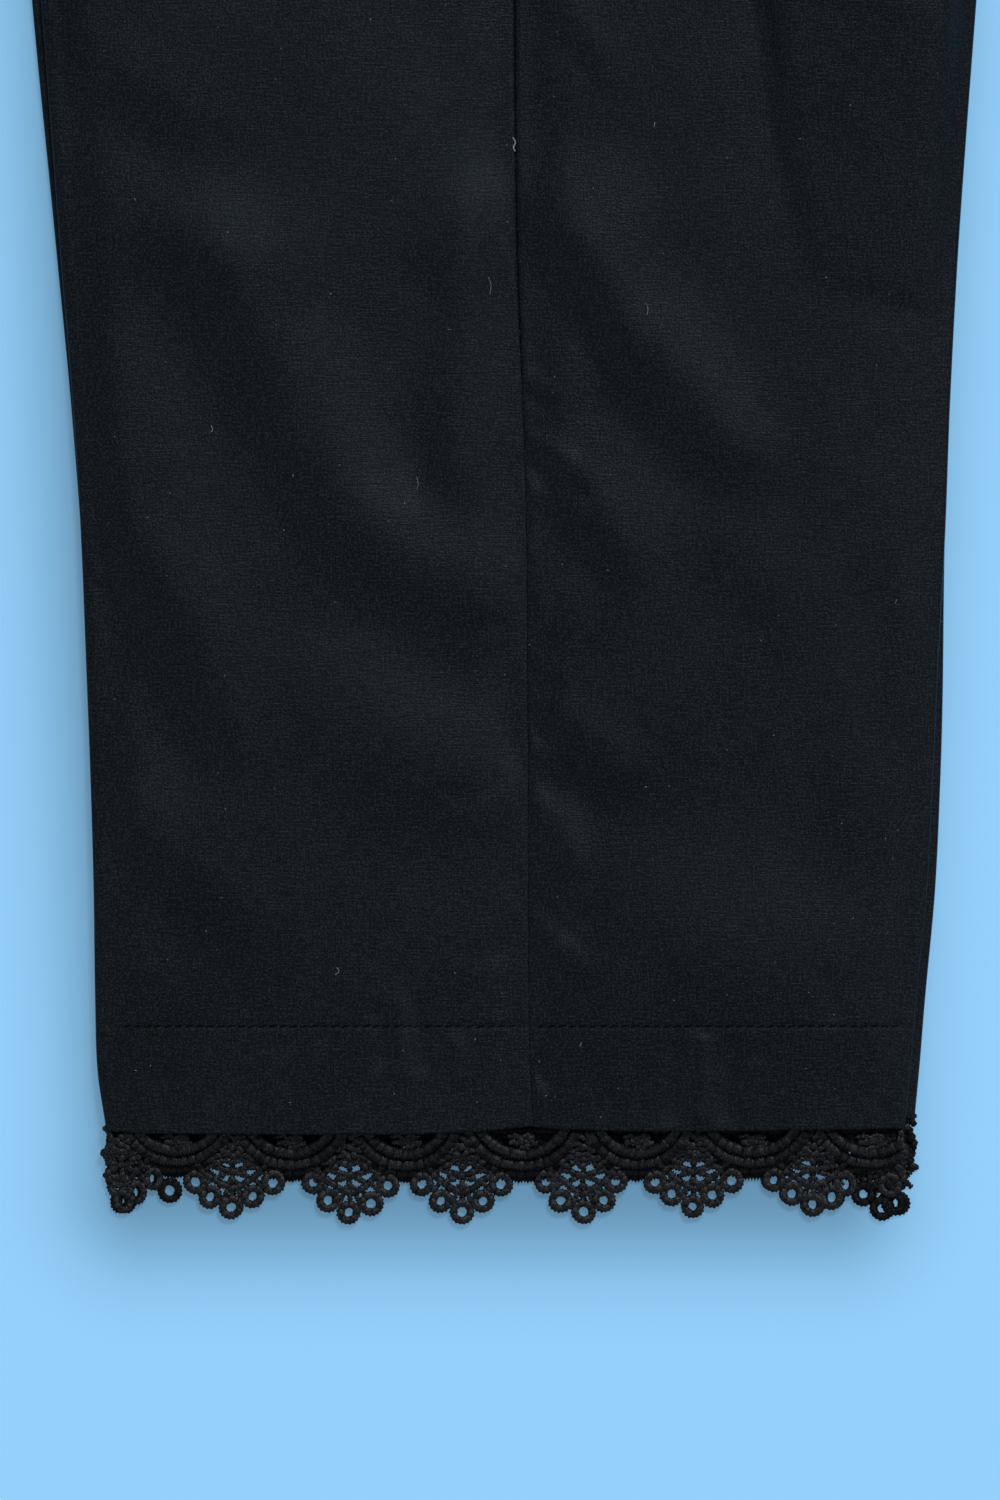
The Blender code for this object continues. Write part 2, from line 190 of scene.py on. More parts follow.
# Loose fibres on the upper face: places across and heights along each, and its thickness
FIBRES = [
    ([(1.4, 248.6), (2.1, 247.4), (1.6, 246.2), (2, 245.2)], 0.22),
    ([(-73.9, 176.6), (-73.6, 175.6), (-73.9, 174.9)], 0.1),
    ([(-42.6, 41.2), (-41.9, 40.2), (-42.9, 39.4)], 0.1),
    ([(-4.6, 213.6), (-4, 211.6), (-4.3, 209.4)], 0.07),
    ([(34.6, 207.2), (35.2, 205.6), (34.9, 204.1)], 0.07),
    ([(37, 252.4), (36.7, 251.2)], 0.09),
    ([(-22.6, 163.8), (-22.2, 162), (-22.5, 160.6)], 0.06),
    ([(-93.2, 233.4), (-92.7, 232.8)], 0.1),
    ([(97.4, 133.2), (97, 132.1)], 0.07),
    ([(18.6, 22.4), (18.2, 21.4)], 0.09),
]

# Specks of lint on the upper face: across and height, then their thickness and length, and how high
# specks and fibres lie over the cloth
SPECKS = [(-7.9, 23.4), (-25.8, 20.3), (-1.6, 17.8), (-7.4, 7.3), (74.4, 16), (7.9, 17.8), (9.5, 9),
          (81.5, 29.6), (23.6, 4), (-54, 7.5), (-93, 15.5), (-89, 16.8), (-75.2, 50),
          (73.3, 248), (21.5, 236), (12, 189), (92.3, 191.8), (79.9, 213.6), (85.8, 256.5),
          (-34.2, 277.8), (-43.9, 209.5), (-53.4, 164.3), (-90, 153.5), (-55.7, 150.7), (-25.7, 157),
          (-14.2, 200.5), (25, 140.5), (63.4, 123), (66.5, 99), (34.5, 86.4), (83.5, 77),
          (94.5, 73.6), (86.6, 53.6), (75.5, 34.8), (-12.8, 39.7), (5.8, 122)]
SPECK = 0.09
SPECK_LENGTH = 0.45
LINT_LIFT = 0.12

# The lace: strips of fans with scallops between them. A fan's parts are given from its middle line,
# as places across and below the hem edge
FAN_PITCH = 29.0
FAN_DEPTH = 14.0
RING_MIDDLES = [(-9.9, -13.1), (-5.4, -17.35), (0, -20.05), (5.4, -17.35), (9.9, -13.1)]
RING_PATH = 2.12
RING_CORD = 1.06
BRANCH = [(-8.6, -8.4), (-7, -10.9), (-5, -12.6), (-2.8, -14.3), (0, -15.4)]
BRANCH_CORD = 1.0
ARCH = [(-5.6, -9.6), (-4.4, -8.3), (-2.7, -7.8), (-1.3, -6.7), (0.3, -7.4), (2.1, -6.7), (3.5, -7.9),
        (4.7, -8.2), (5.6, -9.6)]
ARCH_CORD = 0.6
NET_BARS = [
    ((0, -8.4), (0, -11)), ((0, -11), (0, -13.4)), ((0, -8.4), (-2.3, -7.6)),
    ((0, -11), (2.6, -10.4)), ((2.6, -10.4), (5.3, -9.7)), ((0, -11.2), (2.4, -11.8)),
    ((2.4, -11.8), (4.6, -12.9)), ((0, -13.4), (2, -14.6)), ((2.4, -7.4), (3.7, -9.3)),
    ((3.7, -9.3), (4, -10.2)), ((5.3, -9.6), (7, -10.6)), ((4.3, -8), (6.2, -7.4)),
    ((6.6, -11.2), (8.6, -11.8)), ((5, -12.6), (7.4, -15)), ((2.8, -14.3), (4.2, -15.9)),
    ((1.4, -15.2), (2.5, -18.2)),
]
NET_CORD = 0.78
KNOTS = [(0, -8.5), (0, -11), (0, -13.5), (2.5, -11.8), (-2.5, -11.8), (2.9, -10.3),
         (-2.9, -10.3), (3.9, -8.6), (-3.9, -8.6)]
KNOT = 1.12
STALK = ((0, -15.4), (0, -18.4))
STALK_CORD = 0.78

# The dense filling between a fan's net and the hem
FILLING = [(0, -1.4), (-1.9, -2.5), (1.8, -2.7), (0.1, -3.9), (-2.5, -4.5), (2.4, -4.4),
           (-1.1, -5.5), (1.3, -5.6), (0.1, -6.4), (-3.6, -6.3), (3.7, -6.2), (-4.9, -7.4), (4.9, -7.5)]
FILLING_KNOT = 1.15

# A scallop's two bands from its own middle line: across, then below the hem edge
INNER_BAND = [(-10.8, 1.8), (-9.2, -0.9), (-6.8, -3.3), (-3.8, -4.9), (0, -5.6)]
OUTER_BAND = [(-13.2, 0.4), (-11.6, -2.6), (-8.9, -5.4), (-5.2, -7.6), (0, -8.4)]
BAND_CORD = 1.58
CLUSTER = [(-3.4, -1.2), (-1.9, -0.9), (-0.4, -1.5), (1.2, -0.8), (2.9, -1.3), (-2.8, -2.6),
           (-1.2, -2.8), (0.5, -2.6), (2, -2.4), (3.4, -2.9), (-0.4, -3.9), (1.6, -3.8)]
CLUSTER_KNOT = 0.62
WRAP = 0.74

# The close mass where the lace doubles back at a crease: from and to across, and down to where
CORNERS = [(-100.4, -90.6, -12.6), (91.2, 100.6, -14)]
CORNER_KNOT = 1.25
CORNER_STEPS = (1.4, 1.2)

# The rows of cord that are sewn behind the hem: the left leg has them all, the right one only the first
FOOTING_ROWS = [0.9, -0.7, -2.2, -3.7, -5.1, -6.5]
LEFT_FOOTING_CORD = 1.35
RIGHT_FOOTING_CORD = 1.05

# Cords are pressed flat to this share, and the lace droops over this length below the hem edge
FLATNESS = 0.3
DROOP_REACH = 12.0

# How thick the cords of the middle fans are in the layers underneath, against the upper ones
SLIM = 0.6

# The rings of single fans, which aren't quite regular, from each fan's middle line
OWN_RINGS = {
    -96.5: [(-4.5, -13.4), (0.4, -17.4), (5.1, -15.2), (10.1, -11.7)],
    93.9: [(-4.7, -15.6), (0, -19.2), (4.5, -17.9)],
    106.0: [(-10, -13.4)],
    -69: [(-9.2, -12.6), (-5.5, -16.3), (-0.2, -18.9), (5.1, -16.2), (10.1, -12.7)],
    -39: [(-9.1, -12.8), (-5.5, -17.2), (-0.1, -20.2), (5.4, -18), (9.5, -13.5)],
    19: [(-9.2, -12.4), (-5.4, -17.3), (0, -20), (5.3, -17.2), (8.3, -12.4)],
    47: [(-9.6, -12.6), (-5.6, -15.6), (-0.1, -18.7), (4.8, -15.9), (9.7, -12.2)],
    76: [(-10, -12), (-5.3, -15.5), (0, -18.2), (4.9, -16.4), (8.2, -13)],
}

# The middles of the fans across, the share that each is squeezed to, and how far each is raised
UPPER_FANS = [
    (-96.5, 0.8, 3), (-68.7, 1, 1.1), (-39.4, 1, -0.1), (-11.3, 1, 0), (19, 1, 0),
    (46.6, 0.98, 1.3), (76.5, 0.98, 1.7), (106, 1, 0.4),
]
UNDER_FANS = [
    (-97, 0.8, 3), (-69.1, 1, 1.4), (-39.7, 1, -0.1), (-11.6, 1, 0.1), (18.8, 1, 0.1),
    (46.4, 0.98, 1.5), (75.9, 0.98, 2), (93.8, 1, 0.9),
]
LEFT_FANS = [
    (-97.2, 0.8, 1.2), (-68.4, 1, -1.2), (-39.3, 1, -2.5), (-11.1, 1, -2.4), (19.2, 1, -2.4),
    (46.7, 1, -1.1), (77, 1, -0.9), (94, 1, -1.6),
]
SINGLE_RINGS = [(-84.4, -14.7)]

# The four faces of the lace from the top down: node, fans, whether on the left leg, level, sides of its
# cords, reach above the hem edge, droop, sag of the scallops, unevenness, seed, whether an inner face
# The inner faces are drawn in a darker copy of the lace thread, which paints in the shade of the layers
# over them.
LACE_FACES = [
    ("right_lace_upper", UPPER_FANS, False, 3.62, 8, 2.4, 2.15, 0.0, 0.27, 11, False),
    ("right_lace_under", UNDER_FANS, False, 2.55, 6, 0.2, 1.5, 2.2, 0.04, 12, True),
    ("left_lace_upper", LEFT_FANS, True, 1.6, 6, 0.2, 0.95, 4.2, 0.04, 13, True),
    ("left_lace_under", LEFT_FANS, True, 0.68, 6, 2.4, 0.15, 4.2, 0.04, 14, False),
]

# The soft shadow painted into the floor's glow: how dark, how soft, and the middle, half width, foot and
# top of its core, which widens with the height
SHADOW_DEPTH = 0.67
SHADOW_SOFTNESS = 21.0
SHADOW_MIDDLE = -5.0
SHADOW_HALF_WIDTH = 85.0
SHADOW_FOOT = -14.0
SHADOW_TOP = 850.0
SHADOW_WIDENING = 0.055

# The picture: its height, its middle across and in height, the lens and the sensor's width
PICTURE_HEIGHT = 375.0
PICTURE_MIDDLE = (-1.75, 95.5)
LENS = 300.0
SENSOR = 36.0

# The lights: name, place in metres, size in metres and power in watts
LIGHTS = [
    ("key_light", (0.95, 2.2, 3.2), 1.1, 143.0),
    ("fill_light", (-2.4, -1.6, 2.2), 2.0, 22.0),
    ("side_light", (2.6, -1.4, 2.2), 2.0, 22.0),
]
LIGHT_AIM = (0.0, -0.3, 0.0)


def smooth_value(table, column, height):
    """Reads a table's column at any height, on a smooth curve through its rows."""
    if height <= table[0][0]:
        return table[0][column]
    if height >= table[-1][0]:
        return table[-1][column]
    i = 0
    while table[i + 1][0] < height:
        i += 1
    before = table[max(i - 1, 0)]
    start = table[i]
    end = table[i + 1]
    after = table[min(i + 2, len(table) - 1)]
    length = end[0] - start[0]
    t = (height - start[0]) / length
    slope_in = (end[column] - before[column]) / (end[0] - before[0]) * length
    slope_out = (after[column] - start[column]) / (after[0] - start[0]) * length
    level = start[column] + (end[column] - start[column]) * ease(t)
    return level + slope_in * t * (1 - t) ** 2 + slope_out * t * t * (t - 1)


def outline_at(column, heights):
    """One of the outline's lines at many heights."""
    return np.array([smooth_value(OUTLINE, column, h) for h in heights])


def ease(share):
    """Rises smoothly from 0 to 1, for one value or many."""
    share = np.clip(share, 0.0, 1.0)
    return share * share * (3 - 2 * share)


def along_fold(fold, across, height, softness):
    """How far places lie to the side of a fold, in half widths, and how its ends fade there."""
    x0, h0, x1, h1, half_width = fold
    run_x = x1 - x0
    run_h = h1 - h0
    length = math.hypot(run_x, run_h)
    along = ((across - x0) * run_x + (height - h0) * run_h) / length
    aside = ((height - h0) * run_x - (across - x0) * run_h) / length / half_width
    fade = half_width * softness
    return aside, ease(along / fade + 0.5) * ease((length - along) / fade + 0.5)


def creases_at(table, across, height):
    """The sum of a table's ridges and troughs at places on the cloth."""
    total = np.zeros_like(across)
    for *fold, rise in table:
        aside, ends = along_fold(fold, across, height, 1.0)
        total += rise * ends * np.exp(-(aside ** 2))
    return total


def unevenness(across, height, size, seed):
    """Soft uneven waves of the cloth, from -1 to 1, with the given size in millimetres."""
    flat = [
        noise.noise(Vector((x / size, h / size, seed)))
        for x, h in zip(across.ravel(), height.ravel())
    ]
    return np.array(flat).reshape(across.shape)


def gathers_at(across):
    """The pulled-in waves of the waist, from 0 to 1, at uneven distances."""
    turns = across / GATHER_PITCH + 0.45 * np.sin(across * 0.071) + 0.3 * np.sin(across * 0.19 + 1.0)
    return 0.5 - 0.5 * np.cos(2 * math.pi * turns)


def slopes_at(across, height):
    """The sum of the soft slopes: each rises through its middle and falls away on both sides."""
    total = np.zeros_like(across)
    for *fold, step in SLOPES:
        aside, ends = along_fold(fold, across, height, SLOPE_END_SOFTNESS)
        total += step * ends * aside * np.exp((1 - aside * aside) / 2)
    return total


def facet_at(across, height):
    """The plane at the upper right, beyond its two creases."""
    left = np.interp(height, *zip(*FACET_LEFT))
    foot_height, foot_x, fall = FACET_FOOT
    foot = foot_height - (across - foot_x) * fall
    over_foot = np.clip(height - foot, 0.0, FACET_REACH)
    right_of_edge = np.maximum(across - left, 0.0)
    rise = FACET_SLOPE * over_foot * ease(right_of_edge / FACET_EDGE)
    rise += 0.35 * FACET_SLOPE * right_of_edge * ease(over_foot / FACET_EDGE)
    return rise * ease((FACET_TOP - height) / FACET_FADE)


def hem_stitch_line_at(across, height):
    """The row of sewing sinks into the cloth, and its thread pulls small puckers."""
    pull = 1.0 + 0.35 * np.sin(across * 2.1) * np.sin(across * 0.33)
    return -STITCH_DEPTH * pull * np.exp(-(((height - HEM_DEPTH) / 0.7) ** 2))


def hem_lift(across, height):
    """The hem edge isn't straight: it is raised at the outseam, and a little to the right of it."""
    raised = np.interp(across, *zip(*HEM_EDGE))
    return raised * ease((HEM_DEPTH - 4 - height) / (HEM_DEPTH - 4))


def upper_face_rise(share, across, height, side):
    """How far the upper face stands over the layers under it."""
    edge = ease(share / 0.12) * ease((1 - share) / 0.10)
    near_edge = ease(share / 0.03) * ease((1 - share) / 0.065)
    loft = LOFT * (0.35 + 0.65 * np.sin(math.pi * share))
    loft = loft * (HEM_LOFT + (1 - HEM_LOFT) * ease(height / LOFT_REACH))
    soft = loft + creases_at(RIDGES, across, height)
    soft = soft * edge + (slopes_at(across, height) + facet_at(across, height)) * near_edge
    soft = np.where(soft > 0.3, soft, 0.3 * np.exp(np.minimum(soft / 0.3 - 1, 0.0)))
    fade = ease((height - (LEG_TOP - GATHER_FADE)) / GATHER_FADE)
    rise = soft * (1 - 0.6 * fade) + GATHER_RISE * gathers_at(across) * edge * fade
    rise += creases_at(CREASES, across, height)
    rise += 0.2 * unevenness(across, height, 22.0, 3.1) * near_edge
    rise += 0.05 * unevenness(across, height, 6.0, 8.4) * near_edge
    seam = outline_at(SEAM, height[:, 0])[:, None]
    off_seam = np.abs(across - seam)
    if side > 0:
        rise += 0.1 * ease(off_seam / 1.2) * ease((12 - off_seam) / 4)
    groove = SEAM_DEPTH * np.exp(-((off_seam / SEAM_HALF_WIDTH) ** 2))
    rise -= groove * (0.45 + 0.55 * ease((height - 170) / 40))
    rise += hem_stitch_line_at(across, height)
    rise += 0.02 * ease((HEM_DEPTH - height) / 1.2)
    return rise - 0.75 * ease((height - (LEG_TOP - 10)) / 10) * (1 + soft)


def lower_face_rise(share, across, height):
    """The face that lies on the floor: soft creases that lift it a little."""
    near_edge = ease(share / 0.04) * ease((1 - share) / 0.08)
    waves = unevenness(across, height, 34.0, 5.7) + 0.5 * unevenness(across, height, 13.0, 9.3)
    lifted = 0.9 * np.maximum(waves, 0.0) * near_edge
    seam = outline_at(SEAM, height[:, 0])[:, None]
    lifted += 0.22 * np.exp(-(((across - seam) / 0.9) ** 2))
    lifted += 0.16 * np.exp(-(((height - HEM_DEPTH - LEFT_HEM_RAISE) / 0.8) ** 2))
    return np.minimum(lifted, 1.1)


def deselect():
    if bpy.context.object and bpy.context.object.mode != "OBJECT":
        bpy.ops.object.mode_set(mode="OBJECT")
    bpy.ops.object.select_all(action="DESELECT")


def dress(piece, material, slot, *nodes):
    """Gives a piece its material, its body and the solids that it stands for."""
    piece.data.materials.clear()
    piece.data.materials.append(material)
    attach(piece, "root")
    if nodes:
        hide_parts(*nodes)


def sheet_of_cloth(name, points, weave_places, turn_over, ring=False):
    """A grid laid out to rows of points, with the weave's own map, thickened to the cloth."""
    rows, columns = points.shape[:2]
    deselect()
    bpy.ops.mesh.primitive_grid_add(x_subdivisions=columns - 1, y_subdivisions=rows - 1, size=1)
    piece = bpy.context.object
    piece.name = name
    mesh = piece.data
    start = np.empty(len(mesh.vertices) * 3)
    mesh.vertices.foreach_get("co", start)
    start = start.reshape(-1, 3)
    column = np.rint((start[:, 0] + 0.5) * (columns - 1)).astype(int)
    row = np.rint((start[:, 1] + 0.5) * (rows - 1)).astype(int)
    mesh.vertices.foreach_set("co", (points[row, column] * MM).ravel())
    corner = np.empty(len(mesh.loops), int)
    mesh.loops.foreach_get("vertex_index", corner)
    mesh.uv_layers[0].name = "weave"
    places = weave_places[row[corner], column[corner]] * MM
    mesh.uv_layers[0].data.foreach_set("uv", places.ravel())
    bpy.ops.object.mode_set(mode="EDIT")
    bpy.ops.mesh.select_all(action="SELECT")
    if turn_over:
        bpy.ops.mesh.flip_normals()
    if ring:
        bpy.ops.mesh.remove_doubles(threshold=0.00001)
    bpy.ops.object.mode_set(mode="OBJECT")
    solidify = piece.modifiers.new("Solidify", "SOLIDIFY")
    solidify.thickness = CLOTH * MM
    solidify.offset = 0.0
    bpy.ops.object.modifier_apply(modifier=solidify.name)
    bpy.ops.object.shade_smooth()
    return piece


def leg_rows(fine):
    """Rows along a leg as (height, depth inside): the turned-up hem first, then the face to the waist."""
    inside = [(h, 2 * HEM_TURN) for h in (HEM_DEPTH + 1.5, HEM_DEPTH - 3, 18, 12, 7, 3, 1)]
    turn = []
    for i in range(7):
        angle = math.pi * i / 6
        turn.append((HEM_TURN - HEM_TURN * math.sin(angle), HEM_TURN + HEM_TURN * math.cos(angle)))
    stretches = [(0.5, 24, 1.5), (24, 29, 0.5), (29, 288, 1.7), (288, LEG_TOP - 0.4, 4.6)]
    if not fine:
        stretches = [(1.0, 24, 3.0), (24, 30, 0.6), (30, 288, 5.0), (288, LEG_TOP - 0.4, 8.0)]
    outside = []
    for start, end, pitch in stretches:
        steps = round((end - start) / pitch)
        outside += [(start + (end - start) * i / steps, 0.0) for i in range(steps)]
    return inside + turn + outside + [(LEG_TOP - 0.4, 0.0)]


def leg_sheet(name, side, face_up, columns, fold_steps, under_columns, rows, hem_height):
    """Half of a flattened leg, cut in one piece from the outseam round the crease to the inseam.

    side is 1 for the front half and -1 for the back half. The face with the outseam is on top of the
    right leg, and under the left one.
    """
    height = np.array([h + hem_height * ease((40 - h) / 40) for h, _ in rows])
    depth = np.array([d for _, d in rows])
    shares = SEAM_COLUMNS + list(np.linspace(0.03, 1, columns - len(SEAM_COLUMNS)))
    low, high = (LAYER[2] - OUTER, LAYER[3] + OUTER) if face_up else (LAYER[1] + OUTER, LAYER[0] - OUTER)
    way = 1 if face_up else -1
    radius = abs(high - low) / 2
    shift = np.array([0.0 if face_up else smooth_value(LEFT_LEG_SHIFT, 1, h) for h in height])
    seam = outline_at(SEAM, height) + shift
    seam += side * (0.035 + 0.055 * ease((height - 170) / 40))
    crease = outline_at(FRONT if side > 0 else BACK, height) + shift
    left = np.array([min(smooth_value(RISE, 1, h), 1.0) for h in height])
    turn = crease - side * (CLOTH / 2 + radius)
    sheet = [(seam + (turn - seam) * share, high - way * depth) for share in shares]
    for i in range(1, fold_steps + 1):
        angle = math.pi / 2 - math.pi * i / fold_steps
        sheet.append((turn + side * (radius - depth) * math.cos(angle),
                      (low + high) / 2 + way * (radius - depth) * math.sin(angle)))
    for i in range(1, under_columns + 1):
        share = i / under_columns
        sheet.append((turn + (seam - turn) * share * left, low + way * depth))
    across = np.stack([x for x, _ in sheet], axis=1)
    level = np.stack([z for _, z in sheet], axis=1)
    heights = np.repeat(height[:, None], len(sheet), axis=1)
    face = slice(0, columns)
    share_grid = np.repeat(np.array(shares)[None, :], len(rows), axis=0)
    if face_up:
        level[:, face] += upper_face_rise(share_grid, across[:, face], heights[:, face], side)
    else:
        level[:, face] += lower_face_rise(share_grid, across[:, face], heights[:, face])
    heights += hem_lift(across, heights)
    points = np.stack([across, heights - CENTRE_HEIGHT, level], axis=2)
    path = np.cumsum(np.hypot(np.diff(across, axis=1), np.diff(level, axis=1)), axis=1)
    weave_x = across[:, :1] + side * np.concatenate([np.zeros((len(rows), 1)), path], axis=1)
    weave_y = np.where(depth[:, None] > HEM_TURN, -heights, heights)
    places = np.stack([weave_x, weave_y], axis=2)
    return sheet_of_cloth(name, points, places, (side > 0) != face_up)


def top_of_leg(across, height):
    """The level of the right leg's upper face at places given in two lists."""
    across = np.array(across, float)[:, None]
    height = np.array(height, float)[:, None]
    seam = outline_at(SEAM, height[:, 0])[:, None]
    radius = (LAYER[3] - LAYER[2]) / 2 + OUTER
    level = np.zeros_like(across)
    for side, column in ((1, FRONT), (-1, BACK)):
        turn = outline_at(column, height[:, 0])[:, None] - side * (CLOTH / 2 + radius)
        share = (across - seam) / (turn - seam)
        rise = upper_face_rise(share, across, height, side)
        level = np.where((across > seam) == (side > 0), rise, level)
    return (level + LAYER[3] + WALL / 2)[:, 0]


class Finish:
    """A material in the making: its nodes, and the shader that they feed."""

    def __init__(self, name, constants):
        self.material = bpy.data.materials.new(name)
        self.material.use_nodes = True
        self.tree = self.material.node_tree
        self.shader = self.tree.nodes["Principled BSDF"]
        for socket, value in constants.items():
            self.feed(self.shader, socket, value)

    def feed(self, node, socket, value):
        """Sets a socket to a constant, or links it to another node's output."""
        if isinstance(value, bpy.types.NodeSocket):
            self.tree.links.new(value, node.inputs[socket])
        else:
            node.inputs[socket].default_value = value

    def node(self, kind, inputs, **settings):
        node = self.tree.nodes.new("ShaderNode" + kind)
        for setting, value in settings.items():
            setattr(node, setting, value)
        for socket, value in inputs.items():
            self.feed(node, socket, value)
        return node

    def places(self):
        return self.node("TexCoord", {}).outputs["Object"]

    def combine(self, operation, first, second=0.0):
        return self.node("Math", {0: first, 1: second}, operation=operation).outputs[0]

    def ramp(self, source, low, high, low_value, high_value):
        """Turns one value into another, evenly between two limits."""
        limits = {"From Min": low, "From Max": high, "To Min": low_value, "To Max": high_value}
        return self.node("MapRange", {**limits, "Value": source}).outputs["Result"]

    def colours(self, source, *stops):
        """Turns a value into a colour. Each stop is a value and its colour."""
        node = self.node("ValToRGB", {"Fac": source})
        elements = node.color_ramp.elements
        for element, (place, colour) in zip(elements, (stops[0], stops[-1])):
            element.position = place
            element.color = (*colour, 1.0)
        for place, colour in stops[1:-1]:
            elements.new(place).color = (*colour, 1.0)
        return node.outputs["Color"]

    def noise(self, places, scale, detail):
        inputs = {"Vector": places, "Scale": scale, "Detail": detail}
        return self.node("TexNoise", inputs).outputs["Fac"]

    def slubs(self, places, across_size, along_size, detail=2.0):
        """Threads of uneven thickness: noise that is drawn out along the thread."""
        scale = (1 / across_size, 1 / along_size, 1.0)
        drawn = self.node("Mapping", {"Vector": places, "Scale": scale})
        return self.noise(drawn.outputs["Vector"], 1.0, detail)

    def thread_waves(self, places, direction, pitch):
        """Ridges of thread, side by side, across one direction of the weave."""
        scale = 2 * math.pi / (20 * pitch)
        inputs = {"Vector": places, "Scale": scale, "Distortion": 2.5, "Detail": 1.0, "Detail Scale": 0.35}
        return self.node("TexWave", inputs, bands_direction=direction).outputs["Fac"]

    def lint_specks(self, places):
        """Tiny specks of lint, one here and there: 1 where there is one."""
        inputs = {"Vector": places, "Scale": 1 / LINT_SPACING}
        cells = self.node("TexVoronoi", inputs, voronoi_dimensions="2D")
        near = self.ramp(cells.outputs["Distance"], 0.006, 0.017, 1.0, 0.0)
        chance = self.node("SeparateColor", {"Color": cells.outputs["Color"]})
        kept = self.ramp(chance.outputs["Red"], 0.4, 1.0, 0.0, 1.0)
        return self.combine("MULTIPLY", near, self.combine("POWER", kept, 2.0))

    def roughen(self, pattern, strength, distance):
        """Lets a pattern stand out of the surface a little."""
        bump = self.node("Bump", {"Strength": strength, "Distance": distance, "Height": pattern})
        self.feed(self.shader, "Normal", bump.outputs["Normal"])


def black_cotton():
    """Black plain-woven cotton: fine threads both ways, uneven in thickness, with a faint sheen."""
    cotton = Finish("black_cotton", {
        "Specular IOR Level": 0.135,
        "Specular Tint": (0.72, 0.86, 1.0, 1.0),
        "Sheen Weight": 0.01,
        "Sheen Roughness": 0.4,
        "Sheen Tint": (0.8, 0.9, 1.0, 1.0),
    })
    places = cotton.node("UVMap", {}, uv_map="weave").outputs["UV"]
    warp = cotton.thread_waves(places, "X", 0.00030)
    weft = cotton.thread_waves(places, "Y", 0.00033)
    ridges = cotton.combine("MULTIPLY", warp, weft)
    warp_slub = cotton.slubs(places, 0.0004, 0.0045)
    weft_slub = cotton.slubs(places, 0.0045, 0.0004)
    threads = cotton.combine("ADD", warp_slub, weft_slub)
    fuzz = cotton.slubs(places, 0.00055, 0.00055, 3.0)
    patches = cotton.slubs(places, 0.03, 0.05)
    tone = cotton.combine("MULTIPLY", ridges, 0.3)
    for pattern, *limits in ((threads, 0.75, 1.25, -0.4, 0.45), (fuzz, 0.35, 0.65, -0.5, 1.0),
                             (patches, 0.3, 0.7, -0.1, 0.1)):
        tone = cotton.combine("ADD", tone, cotton.ramp(pattern, *limits))
    colour = cotton.colours(tone, (0.0, (0.0006, 0.0010, 0.0016)), (0.45, (0.0017, 0.0039, 0.0056)),
                            (1.0, (0.0098, 0.0104, 0.0142)))
    lint = {0: cotton.lint_specks(places), 6: colour, 7: (0.09, 0.1, 0.11, 1.0)}
    linted = cotton.node("Mix", lint, data_type="RGBA")
    cotton.feed(cotton.shader, "Base Color", linted.outputs[2])
    cotton.feed(cotton.shader, "Roughness", cotton.ramp(patches, 0.3, 0.7, 0.41, 0.47))
    surface = cotton.combine("ADD", cotton.combine("MULTIPLY", ridges, 0.25), threads)
    surface = cotton.combine("ADD", surface, cotton.combine("MULTIPLY", fuzz, 1.6))
    cotton.roughen(surface, 1.0, 0.00007)
    return cotton.material


def wound_thread(name, dark, light, roughness, gloss):
    """Thread wound round a cord: fine strands, a little uneven in colour."""
    thread = Finish(name, {
        "Roughness": roughness,
        "Specular IOR Level": gloss,
        "Specular Tint": (0.86, 0.92, 1.0, 1.0),
    })
    fuzz = thread.noise(thread.places(), 2600.0, 3.0)
    thread.feed(thread.shader, "Base Color", thread.colours(fuzz, (0.45, dark), (0.68, light)))
    thread.roughen(fuzz, 0.8, 0.0002)
    return thread.material


def pale_blue_floor():
    """A floor that glows evenly as painted light, but less in a wide soft shadow painted round the hem and
    the legs.
    """
    floor = Finish("pale_blue_floor", {
        "Base Color": (0.05, 0.128, 0.205, 1.0),
        "Roughness": 0.95,
        "Specular IOR Level": 0.0,
        # The emission is painted light: the floor is no lamp, and its glow keeps it bright where shadow
        # would fall.
        "Emission Color": (0.252, 0.508, 0.768, 1.0),
    })
    combine = floor.combine
    place = floor.node("SeparateXYZ", {0: floor.places()})
    height = combine("ADD", place.outputs["Y"], CENTRE_HEIGHT * MM)
    widening = combine("MULTIPLY", combine("MAXIMUM", height, 0.0), SHADOW_WIDENING)
    aside = combine("ABSOLUTE", combine("SUBTRACT", place.outputs["X"], SHADOW_MIDDLE * MM))
    aside = combine("SUBTRACT", aside, widening)
    aside = combine("MAXIMUM", combine("SUBTRACT", aside, SHADOW_HALF_WIDTH * MM), 0.0)
    under = combine("SUBTRACT", SHADOW_FOOT * MM, height)
    over = combine("SUBTRACT", height, SHADOW_TOP * MM)
    beyond = combine("MAXIMUM", combine("MAXIMUM", under, over), 0.0)
    away = combine("ADD", combine("MULTIPLY", aside, aside), combine("MULTIPLY", beyond, beyond))
    # The painted shadow: the glow is weaker close to the hem and the legs.
    shadow = combine("EXPONENT", combine("MULTIPLY", away, -1 / (SHADOW_SOFTNESS * MM) ** 2))
    glow = combine("SUBTRACT", 1.0, combine("MULTIPLY", shadow, SHADOW_DEPTH))
    floor.feed(floor.shader, "Emission Strength", glow)
    return floor.material


